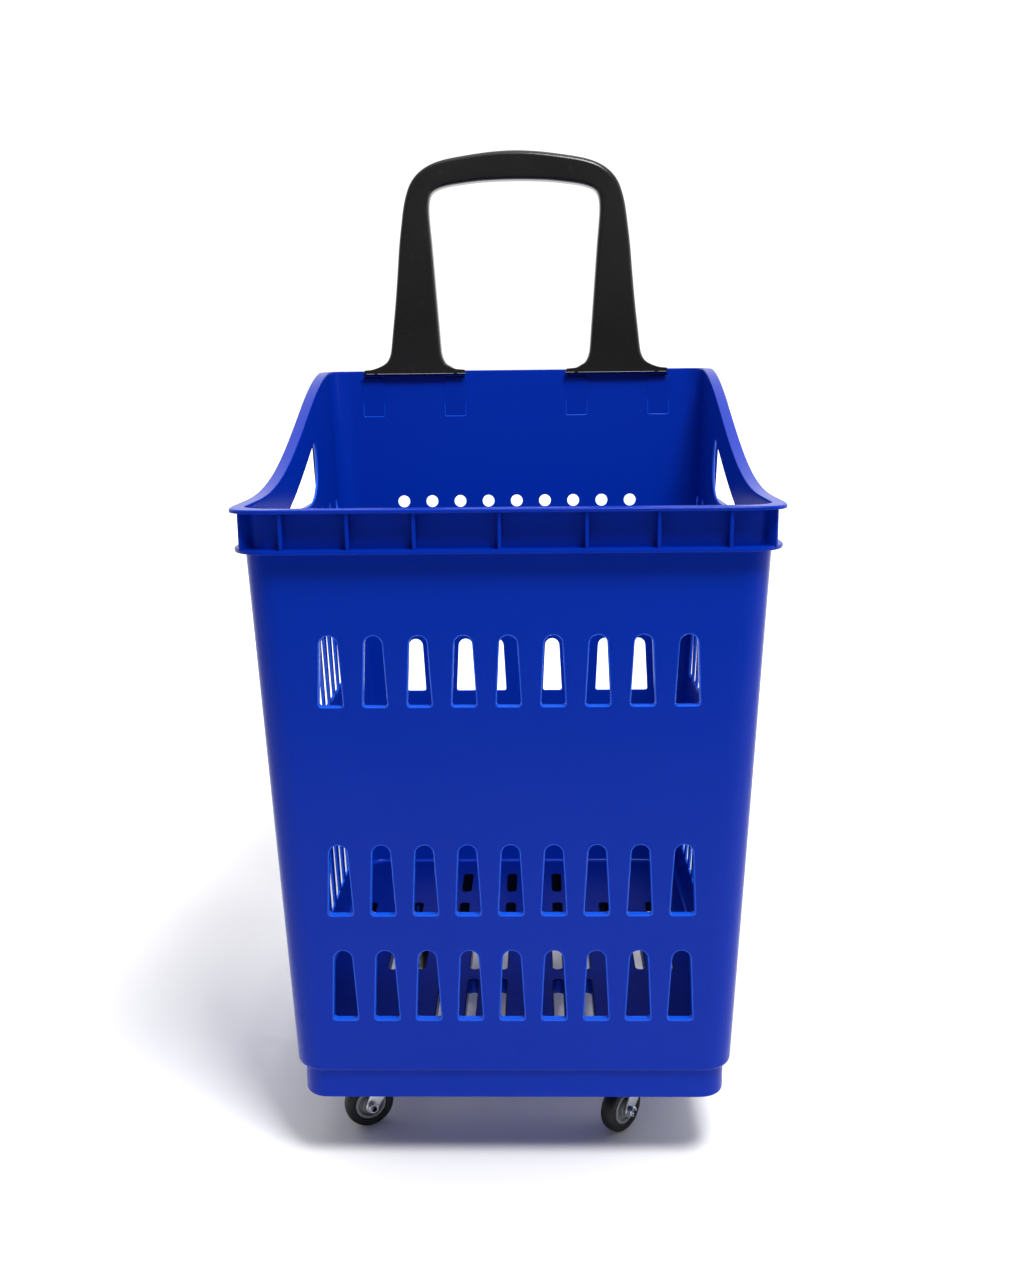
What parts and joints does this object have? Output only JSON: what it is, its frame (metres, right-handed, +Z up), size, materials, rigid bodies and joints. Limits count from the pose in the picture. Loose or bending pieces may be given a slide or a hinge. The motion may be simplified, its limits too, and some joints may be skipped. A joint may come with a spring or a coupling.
{
  "type": "rolling shopping basket",
  "caption": "Tall moulded plastic shopping basket with a raised back, slotted walls, a U-shaped push handle and small swivel castors under its plinth.",
  "frame": {"origin": "on the ground under the middle of the basket's plan outline", "axes": "+Z up, -Y towards the low front wall, +Y towards the raised back wall and the handle"},
  "size_m": [0.4842, 0.58, 1.008],
  "materials": {
    "blue_plastic": "glossy cobalt blue moulded plastic with a fine satin grain",
    "black_plastic": "satin black moulded plastic, lightly scuffed",
    "tyre_rubber": "matt black",
    "hub_grey": "mid grey moulded plastic",
    "zinc_steel": "bright zinc-plated steel"
  },
  "bodies": {
    "basket": {"basket": "blue_plastic", "push_handle": "black_plastic", "handle_screw_1": "zinc_steel", "handle_screw_2": "zinc_steel", "handle_screw_3": "zinc_steel", "handle_screw_4": "zinc_steel", "castor_front_left_plate": "zinc_steel", "castor_front_left_race": "zinc_steel", "castor_front_left_king_pin": "zinc_steel", "castor_front_left_plate_screw_1": "zinc_steel", "castor_front_left_plate_screw_2": "zinc_steel", "castor_front_left_plate_screw_3": "zinc_steel", "castor_front_left_plate_screw_4": "zinc_steel", "castor_front_right_plate": "zinc_steel", "castor_front_right_race": "zinc_steel", "castor_front_right_king_pin": "zinc_steel", "castor_front_right_plate_screw_1": "zinc_steel", "castor_front_right_plate_screw_2": "zinc_steel", "castor_front_right_plate_screw_3": "zinc_steel", "castor_front_right_plate_screw_4": "zinc_steel", "castor_rear_left_plate": "zinc_steel", "castor_rear_left_race": "zinc_steel", "castor_rear_left_king_pin": "zinc_steel", "castor_rear_left_plate_screw_1": "zinc_steel", "castor_rear_left_plate_screw_2": "zinc_steel", "castor_rear_left_plate_screw_3": "zinc_steel", "castor_rear_left_plate_screw_4": "zinc_steel", "castor_rear_right_plate": "zinc_steel", "castor_rear_right_race": "zinc_steel", "castor_rear_right_king_pin": "zinc_steel", "castor_rear_right_plate_screw_1": "zinc_steel", "castor_rear_right_plate_screw_2": "zinc_steel", "castor_rear_right_plate_screw_3": "zinc_steel", "castor_rear_right_plate_screw_4": "zinc_steel"},
    "front_left_swivel": {"castor_front_left_fork": "zinc_steel", "castor_front_left_axle_bolt": "zinc_steel", "castor_front_left_axle_nut": "zinc_steel", "castor_front_left_bush": "hub_grey"},
    "front_left_wheel": {"castor_front_left_hub": "hub_grey", "castor_front_left_tyre": "tyre_rubber"},
    "front_right_swivel": {"castor_front_right_fork": "zinc_steel", "castor_front_right_axle_bolt": "zinc_steel", "castor_front_right_axle_nut": "zinc_steel", "castor_front_right_bush": "hub_grey"},
    "front_right_wheel": {"castor_front_right_hub": "hub_grey", "castor_front_right_tyre": "tyre_rubber"},
    "rear_left_swivel": {"castor_rear_left_fork": "zinc_steel", "castor_rear_left_axle_bolt": "zinc_steel", "castor_rear_left_axle_nut": "zinc_steel", "castor_rear_left_bush": "hub_grey"},
    "rear_left_wheel": {"castor_rear_left_hub": "hub_grey", "castor_rear_left_tyre": "tyre_rubber"},
    "rear_right_swivel": {"castor_rear_right_fork": "zinc_steel", "castor_rear_right_axle_bolt": "zinc_steel", "castor_rear_right_axle_nut": "zinc_steel", "castor_rear_right_bush": "hub_grey"},
    "rear_right_wheel": {"castor_rear_right_hub": "hub_grey", "castor_rear_right_tyre": "tyre_rubber"}
  },
  "joints": [
    {"name": "front_left_swivel_turn", "type": "hinge", "parent": "basket", "child": "front_left_swivel", "pos_m": [-0.124, -0.169, 0.07], "axis": [0, 0, 1], "continuous": true},
    {"name": "front_left_wheel_roll", "type": "hinge", "parent": "front_left_swivel", "child": "front_left_wheel", "pos_m": [-0.14847, -0.18041, 0.025], "axis": [0.4226, -0.9063, 0], "continuous": true},
    {"name": "front_right_swivel_turn", "type": "hinge", "parent": "basket", "child": "front_right_swivel", "pos_m": [0.124, -0.169, 0.07], "axis": [0, 0, 1], "continuous": true},
    {"name": "front_right_wheel_roll", "type": "hinge", "parent": "front_right_swivel", "child": "front_right_wheel", "pos_m": [0.10593, -0.18907, 0.025], "axis": [0.7431, -0.6691, 0], "continuous": true},
    {"name": "rear_left_swivel_turn", "type": "hinge", "parent": "basket", "child": "rear_left_swivel", "pos_m": [-0.124, 0.164, 0.07], "axis": [0, 0, 1], "continuous": true},
    {"name": "rear_left_wheel_roll", "type": "hinge", "parent": "rear_left_swivel", "child": "rear_left_wheel", "pos_m": [-0.11793, 0.13769, 0.025], "axis": [0.9744, 0.225, 0], "continuous": true},
    {"name": "rear_right_swivel_turn", "type": "hinge", "parent": "basket", "child": "rear_right_swivel", "pos_m": [0.124, 0.164, 0.07], "axis": [0, 0, 1], "continuous": true},
    {"name": "rear_right_wheel_roll", "type": "hinge", "parent": "rear_right_swivel", "child": "rear_right_wheel", "pos_m": [0.11477, 0.13863, 0.025], "axis": [0.9397, -0.342, 0], "continuous": true}
  ]
}
